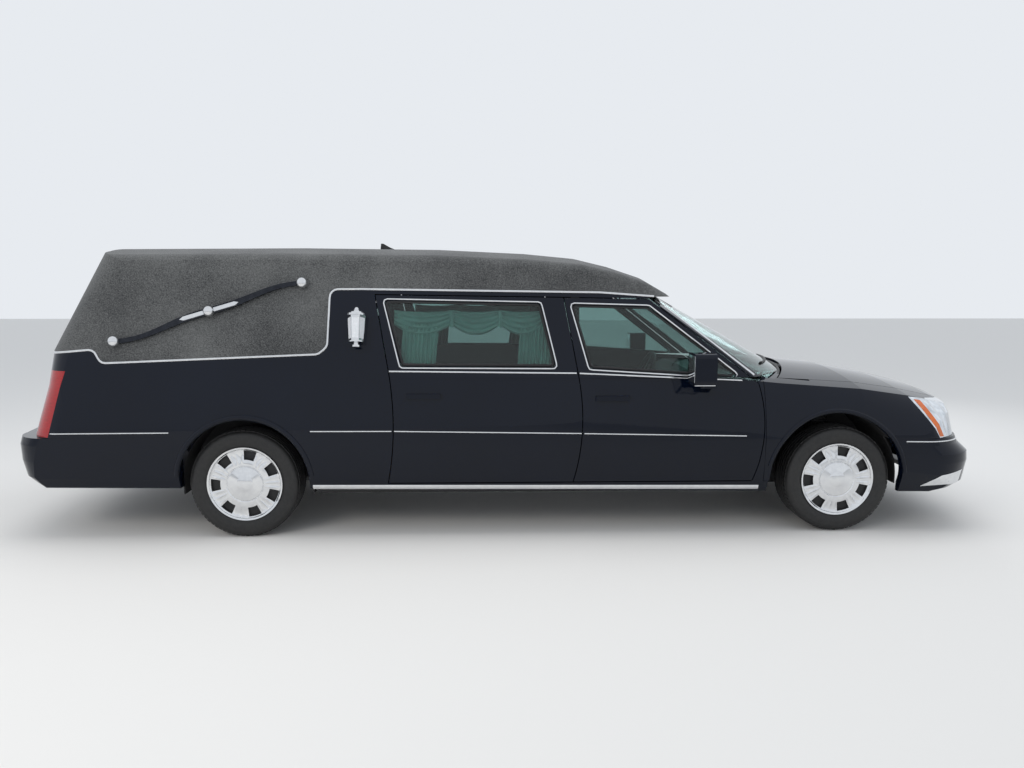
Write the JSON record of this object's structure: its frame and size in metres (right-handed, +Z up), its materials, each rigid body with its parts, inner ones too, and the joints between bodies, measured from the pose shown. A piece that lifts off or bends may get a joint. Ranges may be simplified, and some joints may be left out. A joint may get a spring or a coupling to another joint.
{
  "type": "hearse",
  "caption": "Full-size black funeral coach with a grained vinyl roof, chrome landau bars and coach lamps, opening side doors, hood and a side-hinged loading door.",
  "frame": {"origin": "on the ground, under the middle of the coach's length and width", "axes": "+X to the front of the coach, +Y to the driver's left side, +Z up"},
  "size_m": [6.2691, 2.23, 1.8258],
  "materials": {
    "black_paint": "gloss",
    "vinyl": "matte",
    "window_glass": "gloss",
    "lamp_clear": "gloss",
    "lamp_red": "gloss",
    "chrome": "polished",
    "black_plastic": "matte",
    "underbody": "satin",
    "engine": "matte",
    "steel": "satin",
    "tyre": "matte",
    "seat_leather": "satin",
    "drape_cloth": "matte",
    "deck_wood": "satin"
  },
  "bodies": {
    "coach": {"body_shell": "black_paint", "vinyl_roof": "vinyl", "floorpan": "underbody", "front_frame": "underbody", "fenders": "black_paint", "front_bumper": "black_paint", "grille": "chrome", "headlamps": "lamp_clear", "rear_bumper": "black_paint", "tail_lamps": "lamp_red", "cowl_panel": "black_plastic", "windshield": "window_glass", "coach_lamps": "chrome", "landau_bars": "chrome", "dashboard": "black_plastic", "front_seats": "seat_leather", "casket_deck": "deck_wood", "deck_rollers": "steel", "engine_block": "engine", "rear_axle": "underbody", "exhaust": "steel", "fuel_tank": "black_plastic"},
    "hood": {"hood": "black_paint"},
    "loading_door": {"loading_door": "black_paint", "loading_door_glass": "window_glass"},
    "steering_wheel": {"steering_wheel": "black_plastic"},
    "front_door_right": {"front_door_right": "black_paint", "front_door_glass_right": "window_glass"},
    "rear_door_right": {"rear_door_right": "black_paint", "rear_door_glass_right": "window_glass", "drapes_right": "drape_cloth"},
    "knuckle_right": {"knuckle_right": "engine"},
    "wheel_front_right": {"tyre_front_right": "tyre", "rim_front_right": "chrome"},
    "wheel_rear_right": {"tyre_rear_right": "tyre", "rim_rear_right": "chrome"},
    "front_door_left": {"front_door_left": "black_paint", "front_door_glass_left": "window_glass"},
    "rear_door_left": {"rear_door_left": "black_paint", "rear_door_glass_left": "window_glass", "drapes_left": "drape_cloth"},
    "knuckle_left": {"knuckle_left": "engine"},
    "wheel_front_left": {"tyre_front_left": "tyre", "rim_front_left": "chrome"},
    "wheel_rear_left": {"tyre_rear_left": "tyre", "rim_rear_left": "chrome"}
  },
  "joints": [
    {"name": "hood_hinge", "type": "hinge", "parent": "coach", "child": "hood", "pos_m": [1.74, 0, 0.966], "axis": [0, -1, 0], "range_deg": [0, 40]},
    {"name": "loading_door_hinge", "type": "hinge", "parent": "coach", "child": "loading_door", "pos_m": [-3.02, 0.6, 0.66], "axis": [-0.3091, 0, -0.951], "range_deg": [0, 100]},
    {"name": "front_door_hinge_right", "type": "hinge", "parent": "coach", "child": "front_door_right", "pos_m": [1.53, -0.94, 0.7], "axis": [0, 0, 1], "range_deg": [0, 68]},
    {"name": "rear_door_hinge_right", "type": "hinge", "parent": "coach", "child": "rear_door_right", "pos_m": [0.4, -0.94, 0.7], "axis": [0, 0, 1], "range_deg": [0, 68]},
    {"name": "steer_right", "type": "hinge", "parent": "coach", "child": "knuckle_right", "pos_m": [2.09, -0.72, 0.34], "axis": [0, 0, 1], "range_deg": [-33, 33]},
    {"name": "wheel_front_right_spin", "type": "hinge", "parent": "knuckle_right", "child": "wheel_front_right", "pos_m": [2.09, -0.787, 0.34], "axis": [0, 1, 0], "continuous": true},
    {"name": "wheel_rear_right_spin", "type": "hinge", "parent": "coach", "child": "wheel_rear_right", "pos_m": [-1.66, -0.787, 0.34], "axis": [0, 1, 0], "continuous": true},
    {"name": "front_door_hinge_left", "type": "hinge", "parent": "coach", "child": "front_door_left", "pos_m": [1.53, 0.94, 0.7], "axis": [0, 0, -1], "range_deg": [0, 68]},
    {"name": "rear_door_hinge_left", "type": "hinge", "parent": "coach", "child": "rear_door_left", "pos_m": [0.4, 0.94, 0.7], "axis": [0, 0, -1], "range_deg": [0, 68]},
    {"name": "steer_left", "type": "hinge", "parent": "coach", "child": "knuckle_left", "pos_m": [2.09, 0.72, 0.34], "axis": [0, 0, 1], "range_deg": [-33, 33]},
    {"name": "wheel_front_left_spin", "type": "hinge", "parent": "knuckle_left", "child": "wheel_front_left", "pos_m": [2.09, 0.787, 0.34], "axis": [0, 1, 0], "continuous": true},
    {"name": "wheel_rear_left_spin", "type": "hinge", "parent": "coach", "child": "wheel_rear_left", "pos_m": [-1.66, 0.787, 0.34], "axis": [0, 1, 0], "continuous": true},
    {"name": "steering_column", "type": "hinge", "parent": "coach", "child": "steering_wheel", "pos_m": [1.08, 0.37, 0.87], "axis": [0.9063, 0, -0.4226], "range_deg": [-495, 495]}
  ],
  "couplings": [
    {"joint": "steer_left", "follows": "steer_right", "ratio": 1},
    {"joint": "steering_column", "follows": "steer_right", "ratio": -15}
  ]
}
